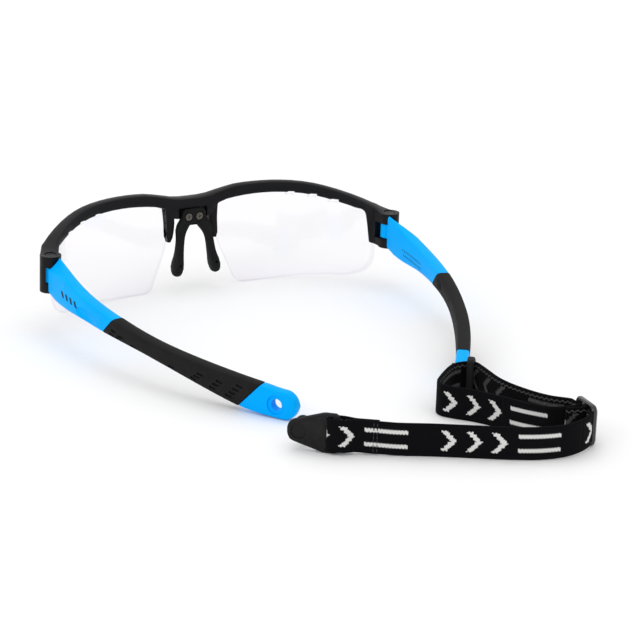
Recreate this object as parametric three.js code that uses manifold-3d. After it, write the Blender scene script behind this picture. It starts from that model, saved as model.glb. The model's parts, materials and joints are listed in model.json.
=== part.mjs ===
// Half-rim sports protective goggles with a removable elastic head strap.
// Millimetres. +X is the wearer's right, +Y points forward, +Z is up and z = 0 is what the goggles stand on.
// The front is symmetric about x = 0. One driving dimension, HALF_WIDTH, is the half width inside the temples.
import * as THREE from 'three';
import { mergeVertices } from 'three/addons/utils/BufferGeometryUtils.js';
import Module from 'manifold-3d';

const wasm = await Module();
wasm.setup();

// ---------- driving dimensions ----------
const HALF_WIDTH = 64;                 // centre line to a temple's inner face at the hinge
const GAP = 0.3;                       // clearance between separate pieces
const TEMPLE_HALF = 2.2;               // half the thickness of a temple's front blade
const TIP_HALF = 2.0;                  // half the thickness of a temple tip
const HINGE_X = HALF_WIDTH + TEMPLE_HALF;
const HINGE_Y = 3.6;
const EAR_RADIUS = 3.6;                // round end of the frame's two hinge ears
const TAB_RADIUS = 2.9;                // round end of the temple's hinge tab, behind the ears' outer wall
const EAR_BOTTOM = 14;
const EAR_TOP = 26.6;
const TAB_LOW = 17.6;                  // the temple's hinge tab lies between the two ears
const TAB_HIGH = 22.6;
const PIN_RADIUS = 0.9;
const FRAME_Y = 31.4;                  // middle of the frame's thickness at the bridge
const WRAP_DROP = 20.8;                // how far the frame curves back by x = HALF_WIDTH
const WRAP_POWER = 3.3;
const LEAN = 0.115;                    // the lower edges sit this much further back per mm of height
const LEAN_TOP = 33;
const LENS_THICKNESS = 2;
const TEMPLE_CURVE = 0.00372;          // inward bend of the temples
const BEND_START = 16;
const HOLE_S = 103.5;                   // distance behind the front of the hole in each temple tip
const HOLE_Z = 4.6;
const HOLE_RADIUS = 1.9;
const RIGHT_REST_FOLD = THREE.MathUtils.degToRad(3.8);   // the right temple is stored slightly folded in
const WEB_WIDTH = 10.4;
const WEB_THICKNESS = 0.9;
const STRAP_TAB_HALF = 1.1;            // half the thickness of the rubber strap tabs
const STRAP_TAB_HEIGHT = 12.4;
const STUD_TO_BAR = 10.8;
const FOLD_LIMIT = 72;                  // degrees a temple can fold in
const FOLD_ROOM = 6;                    // further fold the frame leaves room for
const FLANGE_RADIUS = 2.3;
const SHANK_RADIUS = 1.2;
const SLIDER_HEIGHT = 13;

// ---------- materials ----------
const satinBlack = () => new THREE.MeshStandardMaterial({ color: 0x1c1c1f, roughness: 0.5, metalness: 0 });
const rubberBlack = () => new THREE.MeshStandardMaterial({ color: 0x2b2829, roughness: 0.85, metalness: 0 });
const azurePlastic = () => new THREE.MeshStandardMaterial({ color: 0x00a2f5, roughness: 0.35, metalness: 0 });
const clearLens = () => new THREE.MeshStandardMaterial({
  color: 0xeaf0f5, roughness: 0.05, metalness: 0, transparent: true, opacity: 0.25 });
const screwMetal = () => new THREE.MeshStandardMaterial({ color: 0x8f8577, roughness: 0.35, metalness: 1 });
const webbingBlack = () => new THREE.MeshStandardMaterial({ color: 0x0d0d10, roughness: 0.95, metalness: 0 });
const glossBlack = () => new THREE.MeshStandardMaterial({ color: 0x121214, roughness: 0.25, metalness: 0 });

// ---------- solid helpers ----------
function toManifold(geometry) {
  const bare = geometry.clone();
  bare.deleteAttribute('normal');
  bare.deleteAttribute('uv');
  const merged = mergeVertices(bare, 1e-4);
  return new wasm.Manifold(new wasm.Mesh({
    numProp: 3,
    vertProperties: new Float32Array(merged.attributes.position.array),
    triVerts: new Uint32Array(merged.index.array),
  }));
}

function toGeometry(solid) {
  const mesh = solid.getMesh();
  const geometry = new THREE.BufferGeometry();
  geometry.setAttribute('position', new THREE.BufferAttribute(new Float32Array(mesh.vertProperties), 3));
  geometry.setIndex(new THREE.BufferAttribute(new Uint32Array(mesh.triVerts), 1));
  const flat = geometry.toNonIndexed();
  flat.computeVertexNormals();
  return flat;
}

function named(name, solid, material) {
  const mesh = new THREE.Mesh(toGeometry(solid), material);
  mesh.name = name;
  return mesh;
}

// A closed skin through a row of rings that all have the same number of points.
function loft(rings) {
  const count = rings[0].length;
  const points = rings.flat();
  const faces = [];
  for (let i = 0; i < rings.length - 1; i += 1) {
    for (let j = 0; j < count; j += 1) {
      const a = i * count + j;
      const b = i * count + (j + 1) % count;
      faces.push(a, b, b + count, a, b + count, a + count);
    }
  }
  for (const [start, flip] of [[0, true], [(rings.length - 1) * count, false]]) {
    const centre = new THREE.Vector3();
    for (let j = 0; j < count; j += 1) centre.add(points[start + j]);
    points.push(centre.divideScalar(count));
    const middle = points.length - 1;
    for (let j = 0; j < count; j += 1) {
      const a = start + j;
      const b = start + (j + 1) % count;
      faces.push(...(flip ? [b, a, middle] : [a, b, middle]));
    }
  }
  const geometry = new THREE.BufferGeometry().setFromPoints(points);
  geometry.setIndex(faces);
  geometry.computeBoundingBox();
  const solid = toManifold(outward(geometry));
  return solid;
}

// Turns the triangles round when the skin encloses a negative volume.
function outward(geometry) {
  const position = geometry.attributes.position;
  const index = geometry.index.array;
  const [a, b, c] = [new THREE.Vector3(), new THREE.Vector3(), new THREE.Vector3()];
  let volume = 0;
  for (let i = 0; i < index.length; i += 3) {
    a.fromBufferAttribute(position, index[i]);
    b.fromBufferAttribute(position, index[i + 1]);
    c.fromBufferAttribute(position, index[i + 2]);
    volume += a.dot(b.clone().cross(c));
  }
  if (volume > 0) return geometry;
  const turned = [];
  for (let i = 0; i < index.length; i += 3) turned.push(index[i], index[i + 2], index[i + 1]);
  geometry.setIndex(turned);
  return geometry;
}

// Corners of a rectangle rounded with quarter arcs, as [across, up] pairs around its middle.
function roundedRectangle(halfAcross, halfUp, radius, steps = 3) {
  const r = Math.min(radius, halfAcross * 0.98, halfUp * 0.98);
  const corners = [[1, 1, 0], [-1, 1, 90], [-1, -1, 180], [1, -1, 270]];
  const outline = [];
  for (const [sx, sy, start] of corners) {
    for (let i = 0; i <= steps; i += 1) {
      const angle = THREE.MathUtils.degToRad(start + 90 * i / steps);
      outline.push([sx * (halfAcross - r) + r * Math.cos(angle), sy * (halfUp - r) + r * Math.sin(angle)]);
    }
  }
  return outline;
}

// A smooth value along a row of [position, value] knots.
function along(knots, position) {
  if (position <= knots[0][0]) return knots[0][1];
  for (let i = 0; i < knots.length - 1; i += 1) {
    const [p0, v0] = knots[i];
    const [p1, v1] = knots[i + 1];
    if (position <= p1) {
      const before = knots[Math.max(i - 1, 0)];
      const after = knots[Math.min(i + 2, knots.length - 1)];
      const m0 = (v1 - before[1]) / (p1 - before[0]) * (p1 - p0);
      const m1 = (after[1] - v0) / (after[0] - p0) * (p1 - p0);
      const t = (position - p0) / (p1 - p0);
      const h = t * t * (3 - 2 * t);
      return v0 * (1 - h) + v1 * h + m0 * t * (1 - t) * (1 - t) - m1 * t * t * (1 - t);
    }
  }
  return knots[knots.length - 1][1];
}

// A straight cylinder of any direction, with its ends at two points.
function rod(from, to, radius, sides = 28) {
  const axis = new THREE.Vector3().subVectors(to, from);
  const geometry = new THREE.CylinderGeometry(radius, radius, axis.length(), sides);
  geometry.applyQuaternion(new THREE.Quaternion().setFromUnitVectors(
    new THREE.Vector3(0, 1, 0), axis.clone().normalize()));
  geometry.translate(...new THREE.Vector3().addVectors(from, to).multiplyScalar(0.5).toArray());
  return toManifold(geometry);
}

function block(low, high) {
  const geometry = new THREE.BoxGeometry(high[0] - low[0], high[1] - low[1], high[2] - low[2]);
  geometry.translate((low[0] + high[0]) / 2, (low[1] + high[1]) / 2, (low[2] + high[2]) / 2);
  return toManifold(geometry);
}

const V = (x, y, z) => new THREE.Vector3(x, y, z);
const spread = (from, to, count) => Array.from({ length: count + 1 },
  (_, i) => from + (to - from) * i / count);
const joined = (solids) => solids.reduce((sum, solid) => sum.add(solid));

// The same solid on the other side of x = 0, with its triangles turned the right way round again.
const mirrored = (solid) => {
  const geometry = toGeometry(solid);
  geometry.scale(-1, 1, 1);
  const position = geometry.attributes.position;
  for (let i = 0; i < position.count; i += 3) {
    const a = V(0, 0, 0).fromBufferAttribute(position, i);
    const b = V(0, 0, 0).fromBufferAttribute(position, i + 1);
    position.setXYZ(i, b.x, b.y, b.z);
    position.setXYZ(i + 1, a.x, a.y, a.z);
  }
  return toManifold(geometry);
};

// ---------- the wrapped front ----------
const wrapY = (x) => FRAME_Y - WRAP_DROP * Math.abs(x / HALF_WIDTH) ** WRAP_POWER;
const wrapSlope = (x) => -WRAP_DROP * WRAP_POWER / HALF_WIDTH * Math.abs(x / HALF_WIDTH) ** (WRAP_POWER - 1)
  * Math.sign(x);

// Heights of the brow's top and bottom edges: [distance from the centre line, z].
const BROW_TOP = [[0, 32.6], [6, 32.8], [12, 34.1], [18, 35.2], [28, 35.6], [38, 35.3], [46, 34.3],
  [54, 32.2], [60, 29.9], [64, 28], [70, EAR_TOP]];
const BROW_BOTTOM = [[0, 25], [6.6, 25.2], [8.4, 27.6], [11, 29.6], [18, 30.9], [28, 31.5], [38, 31.2],
  [46, 30.2], [54, 28.1], [59, 26.5], [61.8, 25.2], [62.3, 21], [62.6, 15], [63.4, 14.3], [66, EAR_BOTTOM]];

// The frame's middle line in plan. Past x = HALF_WIDTH it runs straight back to the hinge.
const EAR_RUN = Math.hypot(HINGE_X - HALF_WIDTH, HINGE_Y - wrapY(HALF_WIDTH));
function framePoint(u) {
  const side = Math.sign(u) || 1;
  const a = Math.abs(u);
  if (a <= HALF_WIDTH) {
    const tangent = new THREE.Vector2(1, wrapSlope(a)).normalize();
    return { x: side * a, y: wrapY(a), nx: -side * tangent.y, ny: tangent.x };
  }
  const t = (a - HALF_WIDTH) / EAR_RUN;
  const x = THREE.MathUtils.lerp(HALF_WIDTH, HINGE_X, t);
  const y = THREE.MathUtils.lerp(wrapY(HALF_WIDTH), HINGE_Y, t);
  const turn = THREE.MathUtils.smoothstep(t, 0, 0.8);
  const start = new THREE.Vector2(1, wrapSlope(HALF_WIDTH)).normalize();
  const end = new THREE.Vector2(HINGE_X - HALF_WIDTH, HINGE_Y - wrapY(HALF_WIDTH)).normalize();
  const tangent = start.lerp(end, turn).normalize();
  return { x: side * x, y, nx: -side * tangent.y, ny: tangent.x };
}

const HINGE_RUN = HALF_WIDTH + EAR_RUN;
const leanAt = (u) => LEAN * (1 - THREE.MathUtils.smoothstep(Math.abs(u), HALF_WIDTH - 3, HINGE_RUN));
const frameHalf = (u) => along([[0, 2.6], [8, 2.5], [14, 2.1], [50, 2], [58, 2.2], [62, 2.5], [66, 2.9],
  [HINGE_RUN, EAR_RADIUS]], Math.abs(u));

function frameRing(u) {
  const p = framePoint(u);
  const top = along(BROW_TOP, Math.abs(u));
  const bottom = along(BROW_BOTTOM, Math.abs(u));
  const middle = (top + bottom) / 2;
  return roundedRectangle(frameHalf(u), (top - bottom) / 2, 1.1, 2).map(([across, up]) => {
    const z = middle + up;
    return V(p.x + p.nx * across, p.y + p.ny * across - leanAt(u) * (LEAN_TOP - z), z);
  });
}

function browSweep() {
  const half = [...spread(0, 57, 16), 59, 60.6, 61.6, 62, 62.35, 62.7, 63.3, 64, 65.5, 67.5, HINGE_RUN];
  const stations = [...half.slice(1).reverse().map((u) => -u), ...half];
  return loft(stations.map(frameRing));
}

// The arm that runs down the inner edge of a lens and holds it.
function lensClip(side) {
  const rings = spread(17.4, 30.5, 8).map((z) => {
    const x = side * along([[17.4, 9.1], [24, 8.5], [30.5, 8.8]], z);
    const halfAcross = along([[17.4, 0.7], [19.5, 1.3], [30.5, 1.7]], z);
    const halfDeep = along([[17.4, 1.3], [19.5, 1.75], [30.5, 2.3]], z);
    const y = wrapY(x) - LEAN * (LEAN_TOP - z);
    return roundedRectangle(halfAcross, halfDeep, 0.8).map(([across, deep]) => V(x + across, y + deep, z));
  });
  return loft(rings);
}

// ---------- lenses ----------
const lensTop = (x) => along(BROW_BOTTOM.filter(([u]) => u < 60), x) + 2.3;

// One lens seen from the front, for x > 0, pushed out by `grow`.
// It has a rounded outer bottom corner and an inner edge that slopes to clear the nose.
function lensOutline(grow) {
  const inner = 9.4 - grow;
  const outer = 63.2 + grow;
  const bottom = 0 - grow;
  const path = new THREE.Path();
  path.moveTo(inner + 0.5, lensTop(10) + grow);
  for (const x of spread(13, 59, 11)) path.lineTo(x, lensTop(x) + grow);
  path.quadraticCurveTo(outer, lensTop(59) - 2 + grow, outer, 22);
  path.lineTo(outer, 12);
  path.bezierCurveTo(outer, 5.5, 60.4 + grow, 2.2 - grow, 54, 1.6 - grow);
  path.bezierCurveTo(42, 1.4 - grow, 30, bottom, 20, bottom);
  path.bezierCurveTo(17.5 - grow, bottom, 16.6 - grow, 1.2, 15.8 - grow, 3.6);
  path.bezierCurveTo(13.4 - grow, 9.5, 10.6 - grow, 14, inner, 20);
  return path.getPoints(6);
}

function frontCut(outline, side) {
  const shape = new THREE.Shape(outline.map((p) => new THREE.Vector2(side * p.x, p.y)));
  const geometry = new THREE.ExtrudeGeometry(shape, { depth: 60, bevelEnabled: false, curveSegments: 8 });
  geometry.rotateX(Math.PI / 2);
  geometry.translate(0, 50, 0);
  return toManifold(geometry);
}

// The curved sheet that the lenses are cut from, `half` mm to each side of the wrap.
function wrapSheet(half, side) {
  const rings = [...spread(5, 58, 16), ...spread(59, 69, 6)].map((x) => {
    const slope = wrapSlope(x);
    const length = Math.hypot(1, slope);
    return [[-half, -4], [half, -4], [half, 40], [-half, 40]].map(([across, z]) => V(
      side * (x - across * slope / length), wrapY(x) + across / length - LEAN * (LEAN_TOP - z), z));
  });
  return loft(rings);
}

const VENTS = [38.2, 45.6, 52.2];       // x of the vent notches in each lens's top edge
const VENT_HALF = 1.2;
function ventNotches(side, low, high) {
  return joined(VENTS.map((x) => {
    const z = along(BROW_BOTTOM, x);
    return block([side * x - VENT_HALF, 10, z - low], [side * x + VENT_HALF, 40, z + high]);
  }));
}

function lens(side) {
  return frontCut(lensOutline(0), side).intersect(wrapSheet(LENS_THICKNESS / 2, side))
    .subtract(ventNotches(side, 0.8, 3));
}

const lensGroove = (side) => frontCut(lensOutline(GAP), side)
  .intersect(wrapSheet(LENS_THICKNESS / 2 + GAP, side));

// ---------- frame ----------
const NOSE_Y = 28.4;                    // middle of the nose piece's plate, in its pocket behind the bridge
const SCREW_X = 2.1;
const SCREW_Z = 26.2;

function noseScrewAxis(side, fromY, toY, radius) {
  return rod(V(side * SCREW_X, fromY, SCREW_Z), V(side * SCREW_X, toY, SCREW_Z), radius, 24);
}

function hingeAt(side, radius, low, high, sides = 32) {
  return rod(V(side * HINGE_X, HINGE_Y, low), V(side * HINGE_X, HINGE_Y, high), radius, sides);
}

function ventScallops(side) {
  return joined(VENTS.map((x) => {
    const z = along(BROW_BOTTOM, x);
    const y = wrapY(x) - LEAN * (LEAN_TOP - z);
    return block([side * x - VENT_HALF, y - 6, z - 1], [side * x + VENT_HALF, y + 0.4, z + 0.6]);
  }));
}

// Room between the ears for the temple's hinge tab, open to the inside and the back.
function hingeSlot(side) {
  const reach = TAB_RADIUS + GAP;
  const x = [side * (HINGE_X - 9), side * (HINGE_X + reach - 0.4)].sort((a, b) => a - b);
  return hingeAt(side, reach, TAB_LOW - GAP, TAB_HIGH + GAP)
    .add(block([x[0], HINGE_Y - 9, TAB_LOW - GAP], [x[1], HINGE_Y + reach - 0.4, TAB_HIGH + GAP]));
}

// Room for the folded temple's inner face behind the frame's end.
function foldRelief(side) {
  const geometry = new THREE.BoxGeometry(12, 2 * (TEMPLE_HALF + GAP), 20);
  geometry.translate(-6 - EAR_RADIUS - GAP / 2, 0, (EAR_BOTTOM + EAR_TOP) / 2);
  geometry.rotateZ(THREE.MathUtils.degToRad(90 - FOLD_LIMIT - FOLD_ROOM));
  geometry.translate(HINGE_X, HINGE_Y, 0);
  return side > 0 ? toManifold(geometry) : mirrored(toManifold(geometry));
}

function frameFront() {
  let frame = joined([browSweep(), lensClip(1), lensClip(-1)]);
  for (const side of [1, -1]) {
    frame = frame.add(hingeAt(side, EAR_RADIUS, EAR_BOTTOM, EAR_TOP));
    frame = frame.subtract(lensGroove(side)).subtract(ventScallops(side));
    frame = frame.subtract(hingeSlot(side)).subtract(foldRelief(side));
    frame = frame.subtract(hingeAt(side, PIN_RADIUS + 0.1, EAR_BOTTOM - 1, EAR_TOP + 1, 24));
    frame = frame.subtract(hingeAt(side, 1.7 + GAP, EAR_TOP - 1.1, EAR_TOP + 1, 32));
    frame = frame.subtract(noseScrewAxis(side, NOSE_Y, FRAME_Y + 0.6, 0.8));
  }
  return frame.subtract(nosePlate(GAP)).subtract(block([-5.6, 20, 20], [5.6, NOSE_Y + 1.4, 29.3]));
}

// ---------- nose piece ----------
function nosePlate(grow) {
  const outline = roundedRectangle(4.6 + grow, 2.9 + grow, 1.8, 5);
  const face = 1.1 + grow;
  const middle = 26.1;
  return loft([-face, face].map((deep) => outline
    .map(([across, up]) => V(across, NOSE_Y + deep, middle + up))));
}

// An arm and its oval pad, as rings along a curved line.
function noseArm(side) {
  const line = new THREE.CatmullRomCurve3([V(3, 28.2, 24.6), V(4.9, 27.6, 22), V(5.7, 26.8, 18.4),
    V(6.4, 26.2, 13.4), V(7.3, 25.6, 9), V(7.8, 25.2, 5.6)]);
  const halfAcross = [[0, 2.3], [0.2, 2.25], [0.4, 1.6], [0.6, 1.5], [0.8, 1.8], [0.93, 1.5], [0.98, 1.1],
    [1, 0.5]];
  const halfDeep = [[0, 1.1], [0.35, 1.5], [0.6, 2.1], [0.8, 2.8], [0.93, 2.4], [0.98, 1.7], [1, 0.8]];
  const rings = [...spread(0, 0.9, 11), 0.94, 0.97, 0.99, 1].map((t) => {
    const p = line.getPoint(t);
    const tangent = line.getTangent(t);
    const across = V(tangent.z, 0, -tangent.x).normalize();
    const deep = new THREE.Vector3().crossVectors(tangent, across).normalize();
    return roundedRectangle(along(halfAcross, t), along(halfDeep, t), 1.4, 2).map(([a, d]) => {
      const q = p.clone().addScaledVector(across, a).addScaledVector(deep, d);
      return V(side * q.x, q.y, q.z);
    });
  });
  return loft(rings);
}

function nosePiece() {
  let piece = joined([nosePlate(0), noseArm(1), noseArm(-1)]);
  for (const side of [1, -1]) {
    piece = piece.subtract(noseScrewAxis(side, 20, 35, 0.8));
    piece = piece.subtract(noseScrewAxis(side, 20, NOSE_Y - 0.3, 1.55));
    piece = piece.subtract(rod(V(side * 7.1, 18, 9.8), V(side * 7.1, 23.8, 9.8), 0.45, 16));
  }
  return piece;
}

function noseScrew(side) {
  const head = noseScrewAxis(side, NOSE_Y - 1.2, NOSE_Y - 0.4, 1.3);
  const shank = noseScrewAxis(side, NOSE_Y - 0.5, FRAME_Y + 0.3, 0.6);
  const x = side * SCREW_X;
  const cross = (halfX, halfZ) => block([x - halfX, NOSE_Y - 2, SCREW_Z - halfZ],
    [x + halfX, NOSE_Y - 0.85, SCREW_Z + halfZ]);
  return head.add(shank).subtract(cross(0.9, 0.16)).subtract(cross(0.16, 0.9));
}

function hingeScrew(side) {
  const shank = hingeAt(side, PIN_RADIUS, EAR_BOTTOM + 0.4, EAR_TOP - 0.8, 24);
  const head = hingeAt(side, 1.7, EAR_TOP - 0.95, EAR_TOP - 0.05, 32);
  const x = side * HINGE_X;
  const slot = block([x - 1.2, HINGE_Y - 0.2, EAR_TOP - 0.45], [x + 1.2, HINGE_Y + 0.2, EAR_TOP + 1]);
  return shank.add(head).subtract(slot);
}

// ---------- temples ----------
// Heights of a temple's top and bottom edges: [s, z], where s is the distance behind the hinge line.
const TEMPLE_TOP = [[-3, 26.8], [0, 26.3], [5, 24.9], [12, 22.9], [20, 21.1], [30, 19.2], [38, 17.9],
  [58, 15], [78, 12.5], [98, 9.9], [108, 9.1]];
const TEMPLE_BOTTOM = [[-3, 14.4], [0, 14], [5, 12.8], [13, 12.3], [25, 12.4], [36, 12], [48, 11.2],
  [58, 10], [68, 8.2], [78, 6], [88, 3.5], [97, 1.2], [104, 0.15], [110, 0]];
const SEAM_FRONT = 40;
const SEAM_REAR = 95.5;
const TIP_START = 105.5;                // where the rounded end begins
const TIP_ROUND = 3.7;

const templeX = (s) => HINGE_X - TEMPLE_CURVE * Math.max(s - BEND_START, 0) ** 2;
function templeNormal(s) {
  const slope = 2 * TEMPLE_CURVE * Math.max(s - BEND_START, 0);
  const length = Math.hypot(1, slope);
  return [1 / length, -slope / length];
}
const seamSlant = (s) => along([[0, 0], [22, 0.2], [SEAM_FRONT, 0.95], [60, 0.5],
  [SEAM_REAR, 0.8], [104, 0]], s);
const TEMPLE_HALVES = [[0, TEMPLE_HALF], [20, TEMPLE_HALF], [SEAM_FRONT, 2.3], [60, 2.3], [SEAM_REAR, 2.1],
  [112, TIP_HALF]];
const templeHalf = (s) => along(TEMPLE_HALVES, s);

// A ring of a temple at station s. `inset` shrinks it all round, for the core and for the inside of the sleeve.
function templeRing(s, inset, radius) {
  let top = along(TEMPLE_TOP, s) - inset;
  let bottom = along(TEMPLE_BOTTOM, s) + inset;
  const middle = (top + bottom) / 2;
  let half = templeHalf(s) - inset;
  if (s > TIP_START) {
    const t = Math.min((s - TIP_START) / TIP_ROUND, 1);
    const shrink = Math.sqrt(Math.max(1 - t * t, 0.02));
    top = middle + (top - middle) * shrink;
    bottom = middle + (bottom - middle) * shrink;
    half *= 0.75 + 0.25 * shrink;
  }
  return roundedRectangle(half, (top - bottom) / 2, radius, 2).map(([across, up]) => {
    const z = middle + up;
    const at = s + seamSlant(s) * (z - middle);
    const [nx, ny] = templeNormal(at);
    return V(templeX(at) + nx * across, -at + ny * across, z);
  });
}

const templeSweep = (from, to, count, inset, radius) => loft(spread(from, to, count)
  .map((s) => templeRing(s, inset, radius)));

function holeAxis(s, z, from, to) {
  const [nx, ny] = templeNormal(s);
  return [V(templeX(s) + nx * from, -s + ny * from, z), V(templeX(s) + nx * to, -s + ny * to, z)];
}

// Bevelled scoop in the lower outer face, just in front of the sleeve.
function templeScoop() {
  const [nx, ny] = templeNormal(29);
  const geometry = new THREE.SphereGeometry(1, 18, 10);
  geometry.scale(1.8, 8.5, 2.6);
  geometry.rotateX(THREE.MathUtils.degToRad(6));
  geometry.translate(templeX(29) + nx * 3.1, -29 + ny * 3.1, 14.1);
  return toManifold(geometry);
}

// Bevel along the blade's upper outer edge, widest at the hinge and running out towards the sleeve.
function bladeBevel() {
  return loft([[-3, 4.3], [3, 3.6], [8, 2], [13, 0.8], [17, 0.1]].map(([s, size]) => {
    const outer = HINGE_X + TEMPLE_HALF;
    const top = along(TEMPLE_TOP, s);
    return [[0.6, 0.6], [-size - 0.6, 0.6], [0.6, -size - 0.6]].map(([x, z]) => V(outer + x, -s, top + z));
  }));
}

function templeCore() {
  const blade = templeSweep(-2.6, SEAM_FRONT, 12, 0, 1);
  const core = templeSweep(SEAM_FRONT - 3, SEAM_REAR + 3, 9, 1.35, 0.7);
  const tip = loft([...spread(SEAM_REAR, TIP_START, 6), ...spread(TIP_START + 0.5, TIP_START + TIP_ROUND, 10)]
    .map((s) => templeRing(s, 0, 1)));
  let temple = joined([blade, core, tip]);
  temple = temple.subtract(hingeAt(1, EAR_RADIUS + 0.35, 5, 35)).subtract(templeScoop()).subtract(bladeBevel());
  const tab = hingeAt(1, TAB_RADIUS, TAB_LOW, TAB_HIGH)
    .add(block([HALF_WIDTH + 0.3, -1.5, TAB_LOW], [HINGE_X + TEMPLE_HALF - 0.3, HINGE_Y, TAB_HIGH]));
  temple = temple.add(tab).subtract(hingeAt(1, PIN_RADIUS + 0.1, 5, 35, 24));
  temple = temple.subtract(rod(...holeAxis(HOLE_S, HOLE_Z, -5, 5), HOLE_RADIUS, 28));
  temple = temple.subtract(rod(...holeAxis(HOLE_S, HOLE_Z, TIP_HALF - 0.45, 5), HOLE_RADIUS + 1.2, 32));
  return temple.subtract(rod(...holeAxis(HOLE_S, HOLE_Z, -5, -TIP_HALF + 0.45), HOLE_RADIUS + 1.2, 32));
}

// Moulded slots in the sleeve's outer face, in slanted columns: [s of the top slot, shares of the height].
const SLOT_COLUMNS = [[43.5, [0.42, 0.16]], [47, [0.3, 0.14]], [53, [0.13]], [69, [0.16]],
  [79.5, [0.5, 0.32, 0.15]], [86, [0.56, 0.36, 0.16]], [92.5, [0.72, 0.52, 0.33, 0.16]]];
const SLOT_LENGTH = 2.4;
const SLOT_HEIGHT = 0.7;
const SLEEVE_SLOTS = SLOT_COLUMNS.flatMap(([s, shares]) => shares.map((share, i) => [s - 1.1 * i, share]));

function sleeveSlot([s, share]) {
  const [nx, ny] = templeNormal(s);
  const low = along(TEMPLE_BOTTOM, s);
  const z = low + share * (along(TEMPLE_TOP, s) - low);
  const geometry = new THREE.BoxGeometry(1.5, SLOT_LENGTH, SLOT_HEIGHT);
  geometry.rotateX(-Math.atan2(along(TEMPLE_TOP, s + 4) + along(TEMPLE_BOTTOM, s + 4)
    - along(TEMPLE_TOP, s) - low, 8));
  geometry.rotateZ(-Math.atan2(-ny, nx));
  const reach = templeHalf(s) + 0.35;
  geometry.translate(templeX(s) + nx * reach, -s + ny * reach, z);
  return toManifold(geometry);
}

// Three slanted grooves in the sleeve's inner face near its front end.
function sleeveGroove(s) {
  const [nx, ny] = templeNormal(s);
  const geometry = new THREE.BoxGeometry(1.4, 0.7, 3.2);
  geometry.rotateX(THREE.MathUtils.degToRad(-28));
  geometry.rotateZ(-Math.atan2(-ny, nx));
  const reach = templeHalf(s) + 0.3;
  geometry.translate(templeX(s) - nx * reach, -s - ny * reach, 14.4);
  return toManifold(geometry);
}

function templeSleeve() {
  const skin = templeSweep(SEAM_FRONT + GAP, SEAM_REAR - GAP, 14, -0.15, 1.3);
  const inside = templeSweep(SEAM_FRONT - 4, SEAM_REAR + 4, 9, 1.35 - GAP, 0.8);
  const cuts = joined([...SLEEVE_SLOTS.map(sleeveSlot), ...[44.6, 46.3, 48].map(sleeveGroove)]);
  return skin.subtract(inside).subtract(cuts);
}

// ---------- strap tabs ----------
// Plan frames: u runs from the narrow end to the bar, n is the face that looks outwards when worn.
function inPlan(frame, u, n, z) {
  return V(frame.origin.x + frame.u.x * u + frame.n.x * n, frame.origin.y + frame.u.y * u + frame.n.y * n, z);
}

function rightTipFrame() {
  const [nx, ny] = templeNormal(HOLE_S);
  const offset = TIP_HALF + GAP + STRAP_TAB_HALF;
  const at = new THREE.Vector2(templeX(HOLE_S) + nx * offset, -HOLE_S + ny * offset);
  const hinge = new THREE.Vector2(HINGE_X, HINGE_Y);
  at.rotateAround(hinge, -RIGHT_REST_FOLD);
  const n = new THREE.Vector2(nx, ny).rotateAround(new THREE.Vector2(), -RIGHT_REST_FOLD);
  const u = new THREE.Vector2(n.y, -n.x);
  return { origin: at, u, n };
}

const RIGHT_TAB = rightTipFrame();      // origin on the stud's axis
const LEFT_BAR = new THREE.Vector2(-37.5, -137.5);
const LEFT_U = new THREE.Vector2(0.75, -0.66).normalize();
const LEFT_TAB = {
  origin: LEFT_BAR.clone().addScaledVector(LEFT_U, -STUD_TO_BAR), u: LEFT_U,
  n: new THREE.Vector2(LEFT_U.y, -LEFT_U.x) };

const TAB_MIDDLE = STRAP_TAB_HEIGHT / 2;
const NARROW_END = -3.6;                // u of the narrow end, measured from the stud
const SLOT_FROM = STUD_TO_BAR - 2.6;
const SLOT_TO = STUD_TO_BAR - 0.5;
const WIDE_END = STUD_TO_BAR + 1.3;

function strapTab(frame, middle) {
  const stations = [NARROW_END, NARROW_END + 0.25, NARROW_END + 0.9, NARROW_END + 2, ...spread(0, 5.4, 3),
    SLOT_FROM - 1, SLOT_FROM, SLOT_TO, WIDE_END - 1, WIDE_END - 0.3, WIDE_END];
  const halfHeight = [[NARROW_END, 1.1], [NARROW_END + 0.25, 1.9], [NARROW_END + 0.9, 2.8],
    [NARROW_END + 2, 3.4], [0, 3.9], [5, 5.4],
    [SLOT_FROM - 0.5, STRAP_TAB_HEIGHT / 2], [WIDE_END - 1, STRAP_TAB_HEIGHT / 2],
    [WIDE_END - 0.3, STRAP_TAB_HEIGHT / 2 - 0.4], [WIDE_END, STRAP_TAB_HEIGHT / 2 - 0.9]];
  const halfThick = [[NARROW_END, 0.5], [NARROW_END + 0.9, STRAP_TAB_HALF], [WIDE_END - 0.3, STRAP_TAB_HALF],
    [WIDE_END, 0.7]];
  const tallest = STRAP_TAB_HEIGHT / 2;
  const ring = (u, halfAcross, halfUp, radius) => roundedRectangle(halfAcross, halfUp, radius, 2)
    .map(([across, up]) => inPlan(frame, u, across, middle(u) + up));
  const tall = (u) => Math.min(along(halfHeight, u), tallest);
  const body = loft(stations.map((u) => ring(u, along(halfThick, u), tall(u), 0.55)));
  const slot = loft([SLOT_FROM, SLOT_TO].map((u) => ring(u, 4, WEB_WIDTH / 2 + GAP, 0.3)));
  const seat = studRod(frame, middle, STRAP_TAB_HALF - 0.7, 4, FLANGE_RADIUS + 0.1);
  return body.subtract(slot).subtract(seat).subtract(studRod(frame, middle, -4, 4, SHANK_RADIUS + 0.1));
}

// A length of the stud's axis through a strap tab, as a round bar.
function studRod(frame, middle, fromN, toN, radius) {
  return rod(inPlan(frame, 0, fromN, middle(0)), inPlan(frame, 0, toN, middle(0)), radius, 28);
}

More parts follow.
